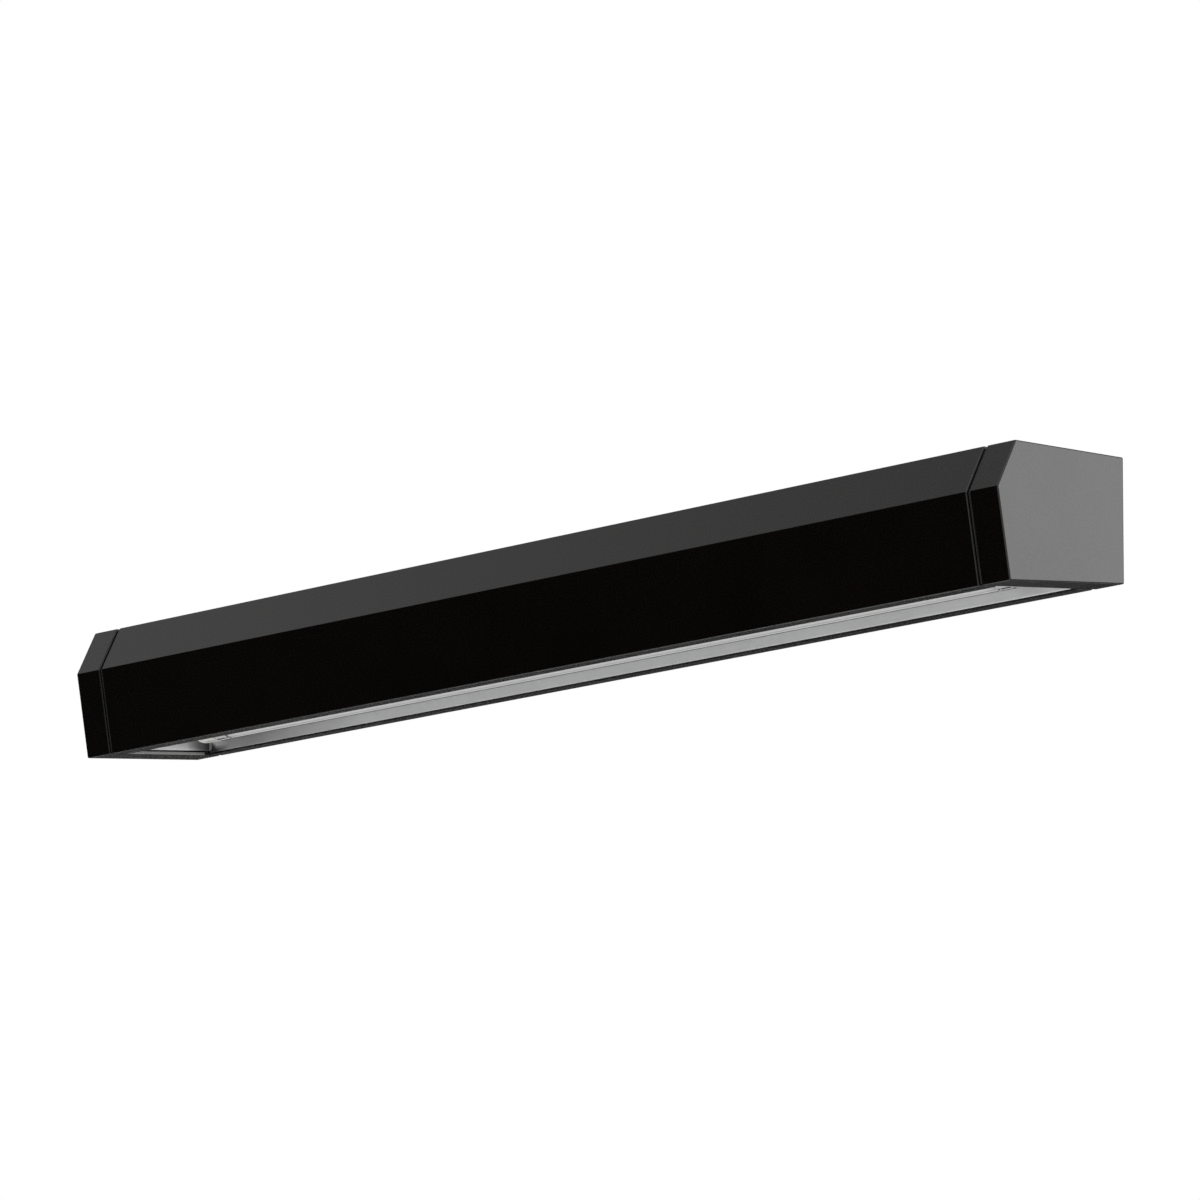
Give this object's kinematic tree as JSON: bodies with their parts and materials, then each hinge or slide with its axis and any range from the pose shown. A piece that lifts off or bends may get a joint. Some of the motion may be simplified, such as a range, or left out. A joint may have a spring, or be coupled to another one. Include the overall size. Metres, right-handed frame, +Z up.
{
  "type": "vanity light bar",
  "caption": "Wall-mounted vanity light bar: a five-sided black bar, open underneath, with a fluorescent tube in a hammered reflector and its control gear above.",
  "frame": {"origin": "on the wall, at the middle of the wall plate's back face", "axes": "+X along the bar, +Y out of the bar's back into the wall, +Z up"},
  "size_m": [0.6, 0.0676, 0.0563],
  "materials": {
    "satin_black": "fine satin black powder coat on aluminium",
    "black_rubber": "matt black rubber",
    "hammered_aluminium": "bright hammered aluminium sheet",
    "zinc_steel": "zinc-plated sheet steel",
    "white_steel": "white painted sheet steel",
    "screw_steel": "zinc-plated screw steel",
    "black_screw": "blackened steel",
    "white_plastic": "white heat-resistant plastic",
    "grey_plastic": "light grey plastic",
    "circuit_board": "green circuit board",
    "lamp_glass": "glass tube with a white coating inside",
    "lamp_aluminium": "plain aluminium",
    "brass": "plain brass",
    "earth_insulation": "green and yellow wire insulation",
    "live_insulation": "brown wire insulation",
    "neutral_insulation": "blue wire insulation",
    "white_insulation": "white wire insulation",
    "red_insulation": "red wire insulation"
  },
  "bodies": {
    "housing_body": {"housing": "satin_black", "end_cap_left": "satin_black", "end_cap_right": "satin_black", "cap_gasket_left": "black_rubber", "cap_gasket_right": "black_rubber", "cable_grommet": "black_rubber", "reflector": "hammered_aluminium", "end_reflector_left": "hammered_aluminium", "end_reflector_right": "hammered_aluminium", "wall_plate": "zinc_steel", "ballast_base": "zinc_steel", "gear_tray": "white_steel", "ballast_cover": "white_steel", "lock_screw_left": "screw_steel", "lock_screw_right": "screw_steel", "tray_screw_left": "screw_steel", "tray_screw_right": "screw_steel", "reflector_screw_left": "screw_steel", "reflector_screw_right": "screw_steel", "ballast_screw_left": "screw_steel", "ballast_screw_right": "screw_steel", "terminal_block_screw": "screw_steel", "terminal_screw_earth": "screw_steel", "terminal_screw_live": "screw_steel", "terminal_screw_neutral": "screw_steel", "earth_stud": "screw_steel", "cap_screw_left_upper": "black_screw", "cap_screw_left_lower": "black_screw", "cap_screw_right_upper": "black_screw", "cap_screw_right_lower": "black_screw", "lampholder_left": "white_plastic", "lampholder_right": "white_plastic", "wire_clip_near": "white_plastic", "wire_clip_far": "white_plastic", "terminal_block": "grey_plastic", "ballast_mains_terminal": "grey_plastic", "ballast_lamp_terminal": "grey_plastic", "ballast_board": "circuit_board", "earth_nut": "brass", "contact_left_front": "brass", "contact_left_back": "brass", "contact_right_front": "brass", "contact_right_back": "brass", "earth_wire": "earth_insulation", "live_wire": "live_insulation", "neutral_wire": "neutral_insulation", "lamp_lead_left_front": "white_insulation", "lamp_lead_left_back": "white_insulation", "lamp_lead_right_front": "red_insulation", "lamp_lead_right_back": "red_insulation"},
    "lamp": {"lamp_tube": "lamp_glass", "lamp_cap_left": "lamp_aluminium", "lamp_cap_right": "lamp_aluminium", "lamp_pin_left_front": "brass", "lamp_pin_left_back": "brass", "lamp_pin_right_front": "brass", "lamp_pin_right_back": "brass", "rotor_left": "white_plastic", "rotor_right": "white_plastic"}
  },
  "joints": [
    {"name": "lamp_turn", "type": "hinge", "parent": "housing_body", "child": "lamp", "pos_m": [0, -0.01965, -0.0157], "axis": [1, 0, 0], "range_deg": [0, 90]}
  ]
}
